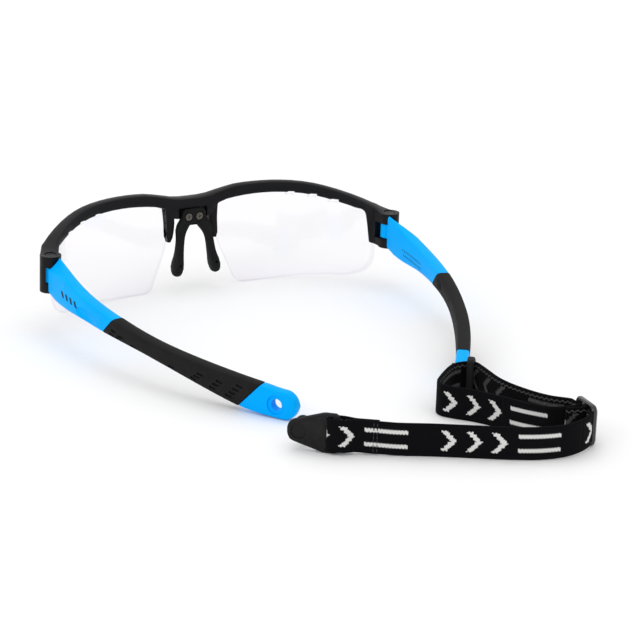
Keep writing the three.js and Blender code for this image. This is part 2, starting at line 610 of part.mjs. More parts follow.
// The button that snaps a strap tab into the hole of a temple tip.
function strapStud(frame, middle) {
  const innerFace = -STRAP_TAB_HALF - GAP - 2 * TIP_HALF - 0.2;
  return joined([
    studRod(frame, middle, STRAP_TAB_HALF - 0.6, STRAP_TAB_HALF - 0.2, FLANGE_RADIUS),
    studRod(frame, middle, innerFace, STRAP_TAB_HALF - 0.5, SHANK_RADIUS),
    studRod(frame, middle, innerFace - 0.9, innerFace + 0.05, HOLE_RADIUS + 0.6),
    studRod(frame, middle, innerFace, -STRAP_TAB_HALF - GAP / 2, HOLE_RADIUS - 0.08),
  ]);
}

const rightMiddle = (u) => HOLE_Z + (TAB_MIDDLE - HOLE_Z) * THREE.MathUtils.smoothstep(u, -1, 7);
const leftMiddle = () => TAB_MIDDLE;

// ---------- slider ----------
const SLIDER = { origin: new THREE.Vector2(37.6, -160.6), u: new THREE.Vector2(0.15, 0.989).normalize() };
SLIDER.n = new THREE.Vector2(-SLIDER.u.y, SLIDER.u.x);
const SLIDER_HALF = 5.9;
const SLIDER_RAIL = 4.5;
const SLIDER_MIDDLE = SLIDER_HEIGHT / 2;

function sliderBox(fromU, toU, fromN, toN, halfUp, radius) {
  const middleU = (fromU + toU) / 2;
  const rings = spread(fromN, toN, 4).map((n, i) => {
    const ease = i === 0 || i === 4 ? 0.35 : 0;
    return roundedRectangle((toU - fromU) / 2 - ease, halfUp - ease, radius, 4)
      .map(([across, up]) => inPlan(SLIDER, middleU + across, n, SLIDER_MIDDLE + up));
  });
  return loft(rings);
}

function strapSlider() {
  const plate = sliderBox(-SLIDER_HALF, SLIDER_HALF, -0.9, 0.9, SLIDER_HEIGHT / 2, 1.8);
  const opening = sliderBox(-SLIDER_RAIL, SLIDER_RAIL, -3, 3, WEB_WIDTH / 2 + GAP + 0.35, 0.8);
  const bar = sliderBox(-0.7, 0.7, 0.2, 1.4, SLIDER_HEIGHT / 2 - 0.5, 0.3);
  return plate.subtract(opening).add(bar);
}

// ---------- webbing ----------
// The webbing stands on edge. Its middle line in plan starts at the sewn tail behind the left tab and runs
// round the left bar, along the main strap, through the slider and back through the right tab's slot.
// It ends sewn round the slider's middle bar.
const at = (frame, u, n) => inPlan(frame, u, n, 0);
function webbingLine() {
  const wrap = 1.85;
  const turn = (frame, u, n, radius, from, to, count) => spread(from, to, count).map((degrees) => {
    const angle = THREE.MathUtils.degToRad(degrees);
    return at(frame, u + radius * Math.cos(angle), n + radius * Math.sin(angle));
  });
  const bar = STUD_TO_BAR;
  const leftEnd = [at(LEFT_TAB, bar + 13, -3.2), at(LEFT_TAB, bar + 9.5, -2.4), at(LEFT_TAB, bar + 6, -1.6),
    at(LEFT_TAB, bar + 3, -wrap), at(LEFT_TAB, bar + 1, -wrap), ...turn(LEFT_TAB, bar, 0, wrap, 270, 90, 6),
    at(LEFT_TAB, bar + 1, wrap), at(LEFT_TAB, bar + 3, 1.6), at(LEFT_TAB, bar + 6, -0.35),
    at(LEFT_TAB, bar + 9.5, -1.25), at(LEFT_TAB, bar + 13, -2.1)];
  const main = [V(-22, -147.3, 0), V(-13, -152, 0), V(-2, -158.8, 0), V(8, -165, 0), V(16, -168.8, 0),
    V(23.5, -170.4, 0), V(29.5, -169.6, 0)];
  const humpHalf = [[1.6, -1.55], [2.6, -0.7], [3.3, 0.5], [4.2, 1.45], [5.2, 1.68]];
  const hump = [[-6.6, 1.7], ...humpHalf.map(([u, n]) => [-u, n]).reverse(), [0, -1.78], ...humpHalf, [7, 1.7]];
  const throughSlider = hump.map(([u, n]) => at(SLIDER, u, n));
  const rear = [V(33.6, -147.5, 0), V(30.4, -137, 0), V(28.6, -127, 0), at(RIGHT_TAB, bar + 1, 3.4),
    at(RIGHT_TAB, bar - 1.1, 1.9), at(RIGHT_TAB, bar - 1.75, 0), at(RIGHT_TAB, bar - 1.1, -2.1),
    at(RIGHT_TAB, bar + 1.5, -5.2)];
  const fold = [V(12.4, -117.2, 0), V(9.6, -120.6, 0), V(9.2, -123.4, 0), V(11, -126.6, 0)];
  const front = [V(15.4, -132, 0), V(20.2, -141, 0), V(24, -150, 0), at(SLIDER, 2.6, 10.5), at(SLIDER, 1.2, 7),
    at(SLIDER, 0.85, 4.6), at(SLIDER, 1.2, 2.6), ...turn(SLIDER, 0, 0.8, 1.3, 0, -180, 6),
    at(SLIDER, -1.2, 2.6), at(SLIDER, -0.6, 4.6), at(SLIDER, -0.2, 7)];
  return new THREE.CatmullRomCurve3([...leftEnd, ...main, ...throughSlider, ...rear, ...fold, ...front], false,
    'centripetal');
}

const WEB_LINE = webbingLine();
const WEB_STATIONS = 2 * (WEB_LINE.points.length - 1);
const onFloor = 0.05;
// How high the lower edge of the webbing is: lifted where a tab or the slider carries it.
function webLow(p) {
  const carried = (centre, low, reach) => (low - onFloor) * Math.exp(-((p.x - centre.x) ** 2
    + (p.y - centre.y) ** 2) / reach ** 2);
  const rightBar = RIGHT_TAB.origin.clone().addScaledVector(RIGHT_TAB.u, STUD_TO_BAR);
  return onFloor + carried(LEFT_BAR, TAB_MIDDLE - WEB_WIDTH / 2, 12)
    + carried(SLIDER.origin, SLIDER_MIDDLE - WEB_WIDTH / 2, 14)
    + carried(rightBar, TAB_MIDDLE - WEB_WIDTH / 2, 12);
}

function webRing(t) {
  const p = WEB_LINE.getPoint(t);
  const tangent = WEB_LINE.getTangent(t);
  const middle = webLow(p) + WEB_WIDTH / 2;
  return roundedRectangle(WEB_THICKNESS / 2, WEB_WIDTH / 2, 0.3, 1).map(([across, up]) => V(
    p.x - tangent.y * across, p.y + tangent.x * across, middle + up));
}

const webbing = () => loft(spread(0, 1, WEB_STATIONS).map(webRing));

// ---------- assembly ----------
// A temple piece turned in about the hinge by the right temple's rest angle.
function foldedRight(solid) {
  const geometry = toGeometry(solid);
  geometry.translate(-HINGE_X, -HINGE_Y, 0);
  geometry.rotateZ(-RIGHT_REST_FOLD);
  geometry.translate(HINGE_X, HINGE_Y, 0);
  return toManifold(geometry);
}

const group = new THREE.Group();
const core = templeCore();
const sleeve = templeSleeve();
group.add(named('frame_front', frameFront(), satinBlack()));
group.add(named('left_lens', lens(-1), clearLens()));
group.add(named('right_lens', lens(1), clearLens()));
group.add(named('nose_piece', nosePiece(), rubberBlack()));
group.add(named('left_nose_screw', noseScrew(-1), screwMetal()));
group.add(named('right_nose_screw', noseScrew(1), screwMetal()));
group.add(named('left_hinge_screw', hingeScrew(-1), screwMetal()));
group.add(named('right_hinge_screw', hingeScrew(1), screwMetal()));
group.add(named('left_temple', mirrored(core), azurePlastic()));
group.add(named('right_temple', foldedRight(core), azurePlastic()));
group.add(named('left_temple_sleeve', mirrored(sleeve), rubberBlack()));
group.add(named('right_temple_sleeve', foldedRight(sleeve), rubberBlack()));
group.add(named('left_strap_tab', strapTab(LEFT_TAB, leftMiddle), rubberBlack()));
group.add(named('right_strap_tab', strapTab(RIGHT_TAB, rightMiddle), rubberBlack()));
group.add(named('left_strap_stud', strapStud(LEFT_TAB, leftMiddle), satinBlack()));
group.add(named('right_strap_stud', strapStud(RIGHT_TAB, rightMiddle), satinBlack()));
group.add(named('strap_slider', strapSlider(), glossBlack()));
group.add(named('strap_webbing', webbing(), webbingBlack()));

// The origin is the middle of the whole part's footprint, on the surface it stands on.
const extent = new THREE.Box3().setFromObject(group);
const foot = extent.getCenter(V(0, 0, 0)).setZ(extent.min.z);
for (const mesh of group.children) mesh.geometry.translate(-foot.x, -foot.y, -foot.z);

export default group;
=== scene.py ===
"""The look of the sports protective goggles: materials, woven strap, stitches, floor, light and camera.
Metres, in the row frame: +X wearer's right, +Y forward, +Z up, z = 0 is the floor."""
import json
import math
import random

import bpy
from mathutils import Matrix, Vector


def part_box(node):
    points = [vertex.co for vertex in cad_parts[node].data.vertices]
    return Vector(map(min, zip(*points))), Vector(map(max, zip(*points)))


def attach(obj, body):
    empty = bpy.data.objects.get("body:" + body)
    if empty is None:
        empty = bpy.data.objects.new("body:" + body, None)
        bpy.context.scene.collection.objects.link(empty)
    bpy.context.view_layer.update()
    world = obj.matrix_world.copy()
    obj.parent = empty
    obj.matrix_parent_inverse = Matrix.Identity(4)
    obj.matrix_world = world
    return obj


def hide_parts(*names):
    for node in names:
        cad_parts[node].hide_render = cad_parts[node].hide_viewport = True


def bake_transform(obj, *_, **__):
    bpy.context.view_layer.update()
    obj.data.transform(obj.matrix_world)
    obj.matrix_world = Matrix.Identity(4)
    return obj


MM = 0.001
WEB_WIDTH = 10.4 * MM
WEB_THICKNESS = 0.9 * MM
STUD_TO_BAR = 10.8 * MM                  # from a strap tab's stud to the bar of its slot
TAB_FOLD_RADIUS = 1.98                   # mm from a tab's bar to the middle of the webbing folded round it
SLIDER_BEHIND = 160.6 * MM               # how far the slider lies behind the plan's y = 0
HELD_HEIGHT = 6.5 * MM                   # half the height of the slider and, nearly, of a strap tab
LEFT_TAB_HEADING = (0.75, -0.66)         # plan direction from the left tab's stud to its bar
STATION_STEP = 0.6 * MM                  # spacing of the webbing's cross-sections
SMOOTH_BELOW = math.radians(33)          # faces meeting at less than this shade as one surface

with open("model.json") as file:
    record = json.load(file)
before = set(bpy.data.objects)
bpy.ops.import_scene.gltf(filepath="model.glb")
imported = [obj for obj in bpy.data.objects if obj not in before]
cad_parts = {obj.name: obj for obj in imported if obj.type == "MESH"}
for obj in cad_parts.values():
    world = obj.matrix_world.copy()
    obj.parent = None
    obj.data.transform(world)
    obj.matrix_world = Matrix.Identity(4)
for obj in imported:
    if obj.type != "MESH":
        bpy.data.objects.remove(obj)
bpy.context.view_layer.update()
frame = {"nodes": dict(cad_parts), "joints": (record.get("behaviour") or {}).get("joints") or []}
NODES = frame["nodes"]
JOINTS = {joint["name"]: joint for joint in frame["joints"]}
random.seed(7)


# ---------- node helpers ----------
class Shader:
    """A material's node tree with short ways to add the nodes that the looks below need."""

    def __init__(self, name):
        self.material = bpy.data.materials.new(name)
        self.material.use_nodes = True
        self.tree = self.material.node_tree
        self.bsdf = self.tree.nodes["Principled BSDF"]
        self.output = self.tree.nodes["Material Output"]
        self.place = self.tree.nodes.new("ShaderNodeTexCoord").outputs["Object"]

    def link(self, value, socket):
        if isinstance(value, bpy.types.NodeSocket):
            self.tree.links.new(value, socket)
        else:
            socket.default_value = value

    def math(self, operation, first, second=0.0, third=0.0):
        node = self.tree.nodes.new("ShaderNodeMath")
        node.operation = operation
        for value, socket in zip((first, second, third), node.inputs):
            self.link(value, socket)
        return node.outputs[0]

    def both(self, *masks):
        result = masks[0]
        for mask in masks[1:]:
            result = self.math("MULTIPLY", result, mask)
        return result

    def either(self, *masks):
        result = masks[0]
        for mask in masks[1:]:
            result = self.math("MAXIMUM", result, mask)
        return result

    def within(self, value, middle, half):
        """1 where value is within half of middle, else 0."""
        return self.math("COMPARE", value, middle, half)

    def axes(self, vector=None):
        node = self.tree.nodes.new("ShaderNodeSeparateXYZ")
        self.tree.links.new(vector or self.place, node.inputs[0])
        return node.outputs

    def attribute(self, name):
        node = self.tree.nodes.new("ShaderNodeAttribute")
        node.attribute_name = name
        return node.outputs["Fac"]

    def stretched(self, scale):
        node = self.tree.nodes.new("ShaderNodeMapping")
        node.inputs["Scale"].default_value = scale
        self.tree.links.new(self.place, node.inputs["Vector"])
        return node.outputs[0]

    def noise(self, size, detail=3.0, vector=None, roughness=0.5):
        """Noise whose lumps are about size metres across."""
        node = self.tree.nodes.new("ShaderNodeTexNoise")
        node.inputs["Scale"].default_value = 1 / size
        node.inputs["Detail"].default_value = detail
        node.inputs["Roughness"].default_value = roughness
        self.tree.links.new(vector or self.place, node.inputs["Vector"])
        return node.outputs["Fac"]

    def grains(self, size):
        node = self.tree.nodes.new("ShaderNodeTexVoronoi")
        node.inputs["Scale"].default_value = 1 / size
        self.tree.links.new(self.place, node.inputs["Vector"])
        return node.outputs["Distance"]

    def span(self, value, low, high, to_low, to_high):
        """value from low..high laid onto to_low..to_high, clamped."""
        node = self.tree.nodes.new("ShaderNodeMapRange")
        for item, socket in zip((value, low, high, to_low, to_high), node.inputs):
            self.link(item, socket)
        return node.outputs[0]

    def mix(self, share, first, second):
        node = self.tree.nodes.new("ShaderNodeMix")
        node.data_type = "RGBA"
        self.link(share, node.inputs[0])
        self.link((*first, 1) if isinstance(first, tuple) else first, node.inputs[6])
        self.link((*second, 1) if isinstance(second, tuple) else second, node.inputs[7])
        return node.outputs[2]

    def bump(self, height, depth):
        node = self.tree.nodes.new("ShaderNodeBump")
        node.inputs["Distance"].default_value = depth
        self.link(height, node.inputs["Height"])
        return node.outputs[0]

    def set(self, **values):
        for name, value in values.items():
            socket = self.bsdf.inputs[name.replace("_", " ")]
            self.link((*value, 1) if isinstance(value, tuple) else value, socket)
        return self.material


# ---------- materials ----------
def satin_black():
    """Moulded satin plastic: spark-eroded grain, handling shine on the lumps of a slow noise."""
    look = Shader("satin_black_look")
    grain = look.grains(0.22 * MM)
    handling = look.noise(9 * MM, 4)
    colour = look.mix(handling, (0.0030, 0.0030, 0.0036), (0.0065, 0.0065, 0.0078))
    rough = look.span(handling, 0.35, 0.65, 0.34, 0.48)
    return look.set(Base_Color=colour, Roughness=rough, Specular_IOR_Level=0.14,
                    Normal=look.bump(grain, 0.012 * MM))


def rubber(name, dark, light, grain_size, shine):
    """Matt rubber: fine pebble grain and a dusty bloom in patches."""
    look = Shader(name)
    grain = look.grains(grain_size)
    bloom = look.noise(5 * MM, 5, roughness=0.65)
    speckle = look.noise(0.35 * MM, 2)
    patch = look.both(look.span(bloom, 0.4, 0.7, 0, 1), look.span(speckle, 0.4, 0.6, 0.4, 1))
    colour = look.mix(patch, dark, light)
    rough = look.span(bloom, 0.3, 0.7, shine, shine + 0.16)
    return look.set(Base_Color=colour, Roughness=rough, Specular_IOR_Level=0.13,
                    Normal=look.bump(grain, 0.02 * MM))


def printed_dashes(look, side):
    """Plain slanted dashes printed on a temple's blade, in place of any wording."""
    x, y, z = look.axes()
    forward = look.math("SUBTRACT", JOINTS["left_temple_fold"]["pos_m"][1], y)
    height = look.math("SUBTRACT", z, look.math("MULTIPLY_ADD", forward, -0.08, 18.2 * MM))
    slanted = look.math("MULTIPLY_ADD", height, 0.5, forward)
    pitch, first, count = (3.2 * MM, 13 * MM, 4) if side < 0 else (1.6 * MM, 15 * MM, 9)
    half_height = 1.0 * MM if side < 0 else 0.35 * MM
    step = look.math("WRAP", slanted, pitch, 0.0)
    dash = look.within(step, pitch / 2, pitch * 0.24)
    run = look.within(slanted, first + pitch * count / 2, pitch * count / 2)
    rows = look.within(height, 0.0, half_height)
    if side > 0:
        rows = look.either(rows, look.within(height, -1.7 * MM, half_height))
    facing = look.tree.nodes.new("ShaderNodeNewGeometry").outputs["Normal"]
    outer = look.math("LESS_THAN", look.axes(facing)[0], -0.5)
    return look.both(dash, run, rows, outer)


def azure_plastic(side):
    """Satin coloured plastic: faint orange peel, slow cloudiness, hairline rubs along the temple."""
    look = Shader("azure_left_look" if side < 0 else "azure_right_look")
    peel = look.noise(0.9 * MM, 2)
    cloud = look.noise(14 * MM, 3)
    rubs = look.noise(1 * MM, 3, look.stretched((1.0, 0.08, 1.6)))
    colour = look.mix(cloud, (0.0, 0.37, 0.97), (0.0, 0.43, 1.0))
    colour = look.mix(printed_dashes(look, side), colour, (0.004, 0.03, 0.07))
    rough = look.span(rubs, 0.35, 0.7, 0.30, 0.46)
    return look.set(Base_Color=colour, Roughness=rough, Specular_IOR_Level=0.03,
                    Normal=look.bump(peel, 0.02 * MM))


def clear_lens():
    """Hard-coated polycarbonate: clear faces with a faint pink and blue bloom, pale grey cut edges."""
    look = Shader("clear_lens_look")
    nodes = look.tree.nodes
    tint_patch = look.noise(26 * MM, 1)
    smear = look.noise(3 * MM, 4, look.stretched((1.0, 1.0, 2.5)))
    face_normal = nodes.new("ShaderNodeNewGeometry").outputs["True Normal"]
    sideways = look.math("ABSOLUTE", look.axes(face_normal)[1])
    edge = look.math("LESS_THAN", sideways, 0.2)
    face_tint = look.mix(tint_patch, (0.982, 0.968, 0.982), (0.970, 0.975, 0.985))
    through = nodes.new("ShaderNodeBsdfTransparent")
    look.link(look.mix(edge, face_tint, (0.92, 0.91, 0.93)), through.inputs["Color"])
    mirror = nodes.new("ShaderNodeBsdfGlossy")
    look.link((0.93, 0.92, 0.98, 1.0), mirror.inputs["Color"])
    look.link(look.span(smear, 0.3, 0.8, 0.03, 0.12), mirror.inputs["Roughness"])
    glance = look.math("POWER", nodes.new("ShaderNodeLayerWeight").outputs["Facing"], 4.0)
    blend = nodes.new("ShaderNodeMixShader")
    look.link(look.math("MULTIPLY_ADD", glance, 0.4, 0.03), blend.inputs[0])
    look.link(through.outputs[0], blend.inputs[1])
    look.link(mirror.outputs[0], blend.inputs[2])
    look.link(blend.outputs[0], look.output.inputs["Surface"])
    return look.material


def screw_metal():
    """Nickelled brass with turning marks and tarnish."""
    look = Shader("screw_metal_look")
    tarnish = look.noise(0.7 * MM, 4)
    marks = look.noise(0.12 * MM, 2)
    colour = look.mix(tarnish, (0.08, 0.072, 0.062), (0.20, 0.185, 0.16))
    return look.set(Base_Color=colour, Metallic=1.0, Roughness=look.span(tarnish, 0.3, 0.7, 0.28, 0.5),
                    Normal=look.bump(marks, 0.008 * MM))


def black_steel():
    """Black-oxide steel, rubbed brighter in patches."""
    look = Shader("black_steel_look")
    rubbed = look.noise(0.5 * MM, 4)
    marks = look.noise(0.12 * MM, 2)
    colour = look.mix(look.span(rubbed, 0.5, 0.75, 0, 1), (0.018, 0.018, 0.019), (0.09, 0.09, 0.092))
    return look.set(Base_Color=colour, Metallic=0.8, Roughness=look.span(rubbed, 0.3, 0.7, 0.35, 0.55),
                    Normal=look.bump(marks, 0.008 * MM))


def stud_plastic():
    look = Shader("stud_plastic_look")
    grain = look.grains(0.3 * MM)
    wear = look.noise(1.6 * MM, 4)
    colour = look.mix(wear, (0.006, 0.006, 0.0065), (0.013, 0.013, 0.0135))
    rough = look.span(wear, 0.3, 0.7, 0.55, 0.7)
    return look.set(Base_Color=colour, Roughness=rough, Specular_IOR_Level=0.15,
                    Normal=look.bump(grain, 0.012 * MM))


def slider_plastic():
    """Glossy black moulding with flow waviness and fine rub marks from the webbing."""
    look = Shader("slider_plastic_look")
    flow = look.noise(3 * MM, 2)
    rubs = look.noise(0.5 * MM, 4, look.stretched((1.0, 1.0, 0.2)))
    colour = look.mix(flow, (0.006, 0.006, 0.007), (0.012, 0.012, 0.013))
    return look.set(Base_Color=colour, Roughness=look.span(rubs, 0.35, 0.7, 0.14, 0.34),
                    Coat_Weight=0.3, Normal=look.bump(flow, 0.03 * MM))


def woven_figures(look, run, across):
    """Where the light yarn floats on the outer face: rows of chevrons, then a pair of straight bars."""
    cell_along = look.math("SNAP", run, 0.5 * MM)
    teeth = look.math("MULTIPLY", look.math("PINGPONG", cell_along, 0.5 * MM), 0.5)
    rise = look.math("ABSOLUTE", look.math("SNAP", look.math("ADD", across, teeth), 0.3 * MM))
    inside = look.math("LESS_THAN", rise, 3.3 * MM)
    period = 46 * MM
    local = look.math("WRAP", cell_along, period, 0.0)
    chevrons = []
    for index in range(3):
        tip = look.math("MULTIPLY_ADD", rise, -0.95, (9.5 + 7.6 * index) * MM)
        chevrons.append(look.within(look.math("SUBTRACT", local, tip), 0.0, 0.95 * MM))
    bars = look.both(look.within(rise, 2.3 * MM, 0.62 * MM), look.within(local, 35.5 * MM, 6.5 * MM))
    return look.both(inside, look.either(*chevrons, bars))


def webbing_look():
    """Knitted elastic: ribs along the strap, weft ridges across it, light figures, grey on the reverse."""
    look = Shader("webbing_look")
    run = look.attribute("run")
    across = look.attribute("across")
    outer = look.math("GREATER_THAN", look.attribute("side"), 0.0)
    figures = woven_figures(look, run, across)
    rib = look.math("SINE", look.math("MULTIPLY", across, 2 * math.pi / (0.52 * MM)))
    weft = look.math("SINE", look.math("MULTIPLY", run, 2 * math.pi / (0.46 * MM)))
    weave = look.math("MULTIPLY_ADD", look.math("MULTIPLY", rib, weft), 0.5, 0.5)
    fuzz = look.noise(0.16 * MM, 3)
    black = look.mix(look.math("MULTIPLY", weave, fuzz), (0.0015, 0.0015, 0.002), (0.011, 0.011, 0.013))
    white = look.mix(look.math("MULTIPLY", weave, fuzz), (0.62, 0.62, 0.60), (0.95, 0.95, 0.94))
    grey = look.mix(look.math("MULTIPLY", weave, fuzz), (0.06, 0.06, 0.06), (0.24, 0.24, 0.24))
    zigzag_step = look.math("PINGPONG", run, 0.9 * MM)
    zigzag_line = look.math("MULTIPLY_ADD", zigzag_step, 0.8, 3.6 * MM)
    zigzag = look.within(look.math("SUBTRACT", across, zigzag_line), 0.0, 0.17 * MM)
    reverse = look.mix(look.either(look.both(figures, look.span(fuzz, 0.42, 0.5, 0, 1)), zigzag), black, grey)
    front = look.mix(figures, black, white)
    height = look.math("MULTIPLY_ADD", fuzz, 0.6, look.math("MULTIPLY_ADD", figures, 0.8, weave))
    colour = look.mix(outer, reverse, front)
    rough = look.span(fuzz, 0.3, 0.7, 0.8, 0.98)
    return look.set(Base_Color=colour, Roughness=rough,
                    Sheen_Weight=0.015, Sheen_Roughness=0.4, Specular_IOR_Level=0.05,
                    Normal=look.bump(height, 0.09 * MM))


def thread_look():
    look = Shader("thread_look")
    twist = look.noise(0.12 * MM, 2, look.stretched((1.0, 1.0, 3.0)))
    colour = look.mix(twist, (0.010, 0.010, 0.011), (0.05, 0.05, 0.055))
    return look.set(Base_Color=colour, Roughness=look.span(twist, 0.3, 0.7, 0.6, 0.85),
                    Normal=look.bump(twist, 0.04 * MM))


def floor_look():
    look = Shader("floor_look")
    mottle = look.noise(120 * MM, 3)
    tooth = look.noise(0.8 * MM, 2)
    colour = look.mix(mottle, (0.90, 0.90, 0.90), (0.93, 0.93, 0.93))
    return look.set(Base_Color=colour, Roughness=look.span(tooth, 0.3, 0.7, 0.6, 0.75),
                    Normal=look.bump(tooth, 0.02 * MM))


# ---------- CAD nodes ----------
def smoothing_modifier():
    """Joins the CAD facets' corners and shades them as one surface except across real edges."""
    group = bpy.data.node_groups.new("smooth_surface", "GeometryNodeTree")
    group.interface.new_socket("Geometry", in_out="INPUT", socket_type="NodeSocketGeometry")
    group.interface.new_socket("Geometry", in_out="OUTPUT", socket_type="NodeSocketGeometry")
    new = group.nodes.new
    merge = new("GeometryNodeMergeByDistance")
    merge.inputs["Distance"].default_value = 0.002 * MM
    forget = new("GeometryNodeRemoveAttribute")
    forget.inputs["Name"].default_value = "custom_normal"
    smooth = new("GeometryNodeSetShadeSmooth")
    sharp = new("GeometryNodeSetShadeSmooth")
    sharp.domain = "EDGE"
    sharp.inputs["Shade Smooth"].default_value = False
    angle = new("GeometryNodeInputMeshEdgeAngle")
    steep = new("FunctionNodeCompare")
    steep.operation = "GREATER_THAN"
    steep.inputs[1].default_value = SMOOTH_BELOW
    join = group.links.new
    join(new("NodeGroupInput").outputs[0], merge.inputs["Geometry"])
    join(merge.outputs[0], forget.inputs[0])
    join(forget.outputs[0], smooth.inputs["Geometry"])
    join(smooth.outputs[0], sharp.inputs["Geometry"])
    join(angle.outputs[0], steep.inputs[0])
    join(steep.outputs[0], sharp.inputs["Selection"])
    join(sharp.outputs[0], new("NodeGroupOutput").inputs[0])
    return group


def dress_cad_nodes():
    dark, dusty = (0.0075, 0.0068, 0.0068), (0.017, 0.0155, 0.0155)
    temple_skin = rubber("temple_rubber_look", dark, dusty, 0.28 * MM, 0.62)
    looks = {
        "frame_front": satin_black(),
        "nose_piece": rubber("nose_rubber_look", (0.004, 0.004, 0.004), (0.009, 0.009, 0.009), 0.3 * MM, 0.5),
        "left_temple": azure_plastic(-1),
        "right_temple": azure_plastic(1),
        "strap_slider": slider_plastic(),
    }
    lens, screw, pin, stud = clear_lens(), screw_metal(), black_steel(), stud_plastic()
    tab = rubber("tab_rubber_look", (0.009, 0.009, 0.0095), (0.020, 0.020, 0.021), 0.35 * MM, 0.6)
    for side in ("left", "right"):
        looks[f"{side}_lens"] = lens
        looks[f"{side}_nose_screw"] = screw
        looks[f"{side}_hinge_screw"] = pin
        looks[f"{side}_temple_sleeve"] = temple_skin
        looks[f"{side}_strap_tab"] = tab
        looks[f"{side}_strap_stud"] = stud
    smooth = smoothing_modifier()
    for name, look in looks.items():
        node = NODES[name]
        node.data.materials.clear()
        node.data.materials.append(look)
        node.modifiers.new("smooth", "NODES").node_group = smooth


# ---------- the woven strap ----------
class Plan:
    """A place on the floor plan with its own directions: u along a tab or the slider, n across it."""

    def __init__(self, origin, u, n):
        self.origin = Vector(origin[:2])
        self.u = Vector(u[:2]).normalized()
        self.n = Vector(n[:2]).normalized()

    def at(self, u, n):
        return self.origin + self.u * u + self.n * n

    def arc(self, u, n, radius, start, end, count):
        """Points in mm round (u, n), from start to end degrees."""
        angles = [math.radians(start + (end - start) * index / count) for index in range(count + 1)]
        return [self.at((u + radius * math.cos(a)) * MM, (n + radius * math.sin(a)) * MM) for a in angles]


def slider_plan():
    low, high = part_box("strap_slider")
    along = Vector(JOINTS["strap_adjust"]["axis"])
    return Plan((low + high) / 2, along, (-along.y, along.x))


def right_tab_plan():
    inward = Vector(JOINTS["strap_swivel"]["axis"])
    return Plan(JOINTS["strap_swivel"]["pos_m"], (-inward.y, inward.x), -inward)


def left_tab_plan():
    u = Vector(LEFT_TAB_HEADING).normalized()
    bar = Vector(JOINTS["left_tab_swing"]["pos_m"][:2])
    return Plan(bar - u * STUD_TO_BAR, u, (u.y, -u.x))


SLIDER, RIGHT_TAB, LEFT_TAB = slider_plan(), right_tab_plan(), left_tab_plan()
PLAN_Y = SLIDER.origin.y + SLIDER_BEHIND    # the plan's y = 0 in the row frame, 3.6 mm behind the hinge axes


def on_plan(*pairs):
    return [Vector((x * MM, y * MM + PLAN_Y)) for x, y in pairs]


def near(plan, *pairs):
    return [plan.at(u * MM, n * MM) for u, n in pairs]


def webbing_controls():
    """The webbing's middle line in plan, in the stretches that are built as separate pieces."""
    bar, wrap = STUD_TO_BAR / MM, TAB_FOLD_RADIUS
    tail = near(LEFT_TAB, (bar + 13, -3.2), (bar + 9.5, -2.4), (bar + 6, -1.6), (bar + 3, -wrap),
                (bar + 1, -wrap))
    past_bar = near(LEFT_TAB, (bar + 1, wrap), (bar + 3, 1.6), (bar + 6, -0.35), (bar + 9.5, -1.25),
                    (bar + 13, -2.1))
    main = on_plan((-22, -147.3), (-13, -152), (-2, -158.8), (8, -165), (16, -168.8), (23.5, -170.4),
                   (29.5, -169.6))
    half = [(1.6, -1.55), (2.6, -0.7), (3.3, 0.5), (4.2, 1.45), (5.2, 1.68)]
    into_slider = near(SLIDER, (-6.6, 1.7), *[(-u, n) for u, n in reversed(half)], (0, -1.78))
    out_of_slider = near(SLIDER, *half, (7, 1.7))
    rear = on_plan((33.6, -147.5), (30.4, -137), (28.6, -127))
    slot = near(RIGHT_TAB, (bar + 1, 3.4), (bar - 1.1, 1.9), (bar - 1.75, 0), (bar - 1.1, -2.1),
                (bar + 1.5, -5.2))
    fold = on_plan((12.4, -117.2), (9.6, -120.6), (9.2, -123.4), (11, -126.6), (15.4, -132))
    front = on_plan((20.2, -141), (24, -150)) + near(SLIDER, (2.6, 10.5), (1.2, 7), (0.85, 4.6), (1.2, 2.6))
    end = SLIDER.arc(0, 0.8, 1.3, 0, -180, 6) + near(SLIDER, (-1.2, 2.6), (-0.6, 4.6), (-0.2, 7))
    return {
        "webbing_main": tail + LEFT_TAB.arc(bar, 0, wrap, 270, 90, 6) + past_bar + main[:-1],
        "webbing_turn": main[-1:] + into_slider,
        "webbing_rear": out_of_slider + rear,
        "webbing_loop": slot + fold,
        "webbing_end": front + end,
    }


def smooth_line(points, steps=10):
    """A centripetal Catmull-Rom curve through points, as (position, control index) samples."""
    ends = [2 * points[0] - points[1], *points, 2 * points[-1] - points[-2]]
    samples = []
    for index in range(len(points) - 1):
        p0, p1, p2, p3 = ends[index:index + 4]
        d0, d1, d2 = (math.sqrt((b - a).length) for a, b in ((p0, p1), (p1, p2), (p2, p3)))
        start = ((p1 - p0) / d0 - (p2 - p0) / (d0 + d1) + (p2 - p1) / d1) * d1
        finish = ((p2 - p1) / d1 - (p3 - p1) / (d1 + d2) + (p3 - p2) / d2) * d1
        for step in range(steps):
            t = step / steps
            bend = 3 * (p2 - p1) - 2 * start - finish
            samples.append((p1 + start * t + bend * t ** 2 + (2 * (p1 - p2) + start + finish) * t ** 3,
                            index + t))
    samples.append((points[-1], len(points) - 1))
    return samples


